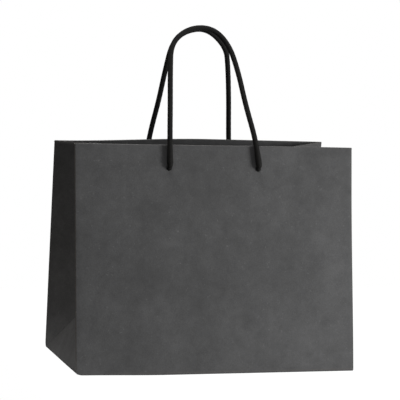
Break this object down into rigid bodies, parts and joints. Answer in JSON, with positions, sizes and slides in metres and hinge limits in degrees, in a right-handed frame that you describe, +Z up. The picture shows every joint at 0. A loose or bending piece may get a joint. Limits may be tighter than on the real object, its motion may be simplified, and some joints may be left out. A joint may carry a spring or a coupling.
{
  "type": "rope handled paper gift bag",
  "caption": "Wide paper gift bag with folding gussets, turned-in rim, loose bottom board and two knotted rope handles; its walls fold down flat over the bottom.",
  "frame": {"origin": "middle of the bottom, on the surface that the bag stands on", "axes": "+X to the bag's right, +Y to its back, +Z up"},
  "size_m": [0.32, 0.14, 0.3793],
  "materials": {
    "paper": "matt charcoal heavy paper, faintly mottled",
    "rim_card": "grey card",
    "bottom_board": "charcoal paper-covered board",
    "rope": "black braided cotton rope"
  },
  "bodies": {
    "base": {"front_bottom_flap": "paper", "back_bottom_flap": "paper", "left_bottom_flap": "paper", "right_bottom_flap": "paper", "base_board": "bottom_board", "left_gusset_base": "paper", "right_gusset_base": "paper"},
    "front_wall": {"front_panel": "paper", "front_hem": "paper", "front_card": "rim_card", "front_knots": "rope", "left_gusset_front": "paper", "right_gusset_front": "paper", "left_gusset_front_hem": "paper", "right_gusset_front_hem": "paper"},
    "back_lower_wall": {"back_panel_lower": "paper", "seam_flap_lower": "paper", "left_gusset_corner": "paper", "right_gusset_corner": "paper"},
    "back_upper_wall": {"back_panel_upper": "paper", "back_hem": "paper", "back_card": "rim_card", "seam_flap_upper": "paper", "back_knots": "rope", "left_gusset_back": "paper", "right_gusset_back": "paper", "left_gusset_back_hem": "paper", "right_gusset_back_hem": "paper"},
    "front_legs": {"front_handle_legs": "rope"},
    "back_legs": {"back_handle_legs": "rope"},
    "front_arch": {"front_handle_arch": "rope"},
    "back_arch": {"back_handle_arch": "rope"}
  },
  "joints": [
    {"name": "front_fold", "type": "hinge", "parent": "base", "child": "front_wall", "pos_m": [0, -0.07, 0.0032], "axis": [-1, 0, 0], "range_deg": [0, 74.1], "deforming": ["left_gusset_base", "right_gusset_base", "left_gusset_front", "right_gusset_front", "left_gusset_front_hem", "right_gusset_front_hem"]},
    {"name": "back_lower_fold", "type": "hinge", "parent": "base", "child": "back_lower_wall", "pos_m": [0, 0.07, 0.0032], "axis": [1, 0, 0], "range_deg": [0, 80.1], "deforming": ["left_gusset_corner", "right_gusset_corner"]},
    {"name": "back_upper_fold", "type": "hinge", "parent": "back_lower_wall", "child": "back_upper_wall", "pos_m": [0, 0.06338, 0.06967], "axis": [-1, 0, 0], "range_deg": [0, 176], "deforming": ["left_gusset_back", "right_gusset_back", "left_gusset_back_hem", "right_gusset_back_hem"]},
    {"name": "front_handle_swing", "type": "hinge", "parent": "front_wall", "child": "front_legs", "pos_m": [0, -0.05043, 0.22416], "axis": [1, 0, 0], "range_deg": [0, 160]},
    {"name": "back_handle_swing", "type": "hinge", "parent": "back_upper_wall", "child": "back_legs", "pos_m": [0, 0.05043, 0.22416], "axis": [-1, 0, 0], "range_deg": [0, 160]},
    {"name": "front_arch_turn", "type": "hinge", "parent": "front_legs", "child": "front_arch", "pos_m": [0, -0.04889, 0.23908], "axis": [1, 0, 0], "range_deg": [0, 15]},
    {"name": "back_arch_turn", "type": "hinge", "parent": "back_legs", "child": "back_arch", "pos_m": [0, 0.04889, 0.23908], "axis": [-1, 0, 0], "range_deg": [0, 15]}
  ],
  "couplings": [
    {"joint": "back_lower_fold", "follows": "front_fold", "ratio": 1.081},
    {"joint": "back_upper_fold", "follows": "front_fold", "ratio": 2.3752},
    {"joint": "front_arch_turn", "follows": "front_fold", "ratio": 0.20243},
    {"joint": "back_arch_turn", "follows": "front_fold", "ratio": 0.20243}
  ]
}
